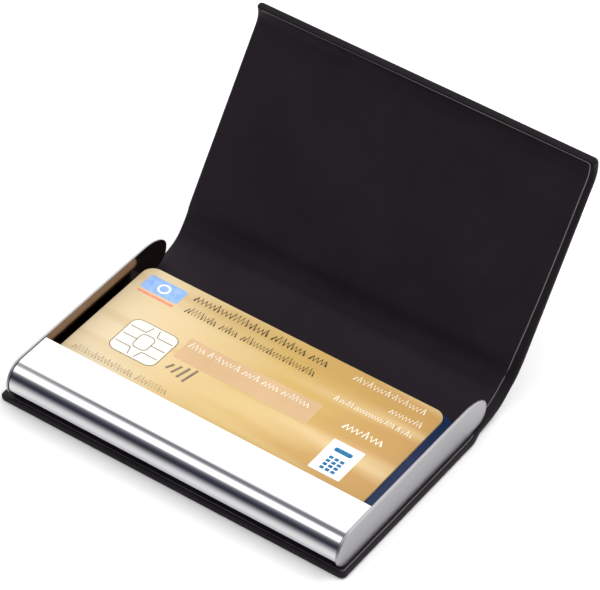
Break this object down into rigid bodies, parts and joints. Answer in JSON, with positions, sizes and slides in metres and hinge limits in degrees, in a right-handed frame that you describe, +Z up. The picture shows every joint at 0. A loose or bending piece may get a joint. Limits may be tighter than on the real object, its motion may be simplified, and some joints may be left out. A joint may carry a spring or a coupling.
{
  "type": "business card case",
  "caption": "Slim card case: a bent steel tray with end caps on a padded leather-look cover that folds over it and closes by magnets.",
  "frame": {"origin": "middle of the tray's footprint on the underside of the bottom cover", "axes": "+X along the case to the right of a user who faces the rounded front, +Y from the front to the spine, +Z up"},
  "size_m": [0.0973, 0.1018, 0.0598],
  "materials": {
    "polished_steel": "polished sheet steel",
    "satin_caps": "satin, brighter on the edges",
    "felt": "short black pile",
    "tape": "double-sided foam tape",
    "cover_leather": "matte near-black imitation leather with a fine grain",
    "lining": "smooth near-black imitation leather, light cut edge",
    "greyboard": "pressed grey paperboard",
    "magnet": "plated",
    "gold_print": "printed and laminated, metallic gold",
    "chip_contact": "thin pale gold plate",
    "blue_print": "printed and laminated, dark blue",
    "card_stock": "plain dark card"
  },
  "bodies": {
    "tray": {"front_band": "polished_steel", "left_end_cap": "satin_caps", "right_end_cap": "satin_caps", "floor_liner": "felt", "tray_tape": "tape", "bottom_skin": "cover_leather", "bottom_board": "greyboard", "bottom_lining": "lining", "spine_skin_lower": "cover_leather", "spine_lining_lower": "lining"},
    "spine_upper": {"spine_skin_upper": "cover_leather", "spine_lining_upper": "lining"},
    "lid": {"lid_skin": "cover_leather", "lid_board": "greyboard", "lid_magnets": "magnet", "lid_lining": "lining"},
    "lip": {"lip_skin": "cover_leather", "lip_stiffener": "greyboard", "lip_lining": "lining"},
    "top_card": {"gold_card": "gold_print", "gold_card_chip": "chip_contact"},
    "second_card": {"blue_card": "blue_print"},
    "cards_below": {"card_stack": "card_stock"}
  },
  "joints": [
    {"name": "cover_fold", "type": "hinge", "parent": "tray", "child": "spine_upper", "pos_m": [0, 0.03345, 0.00416], "axis": [1, 0, 0], "range_deg": [-26, 88.4]},
    {"name": "lid_crease", "type": "hinge", "parent": "spine_upper", "child": "lid", "pos_m": [0, 0.04121, 0.00991], "axis": [1, 0, 0], "range_deg": [-9.2, 31]},
    {"name": "lip_flex", "type": "hinge", "parent": "lid", "child": "lip", "pos_m": [0, 0.0686, 0.05239], "axis": [1, 0, 0], "range_deg": [-25.9, 7.7]},
    {"name": "top_card_slide", "type": "slide", "parent": "tray", "child": "top_card", "axis": [0, 1, 0], "range_m": [0, 0.008]},
    {"name": "second_card_slide", "type": "slide", "parent": "tray", "child": "second_card", "axis": [0, 1, 0], "range_m": [0, 0.008]},
    {"name": "cards_below_slide", "type": "slide", "parent": "tray", "child": "cards_below", "axis": [0, 1, 0], "range_m": [0, 0.006]}
  ],
  "couplings": [
    {"joint": "lid_crease", "follows": "cover_fold", "ratio": 0.349},
    {"joint": "lip_flex", "follows": "cover_fold", "ratio": -0.2911}
  ]
}
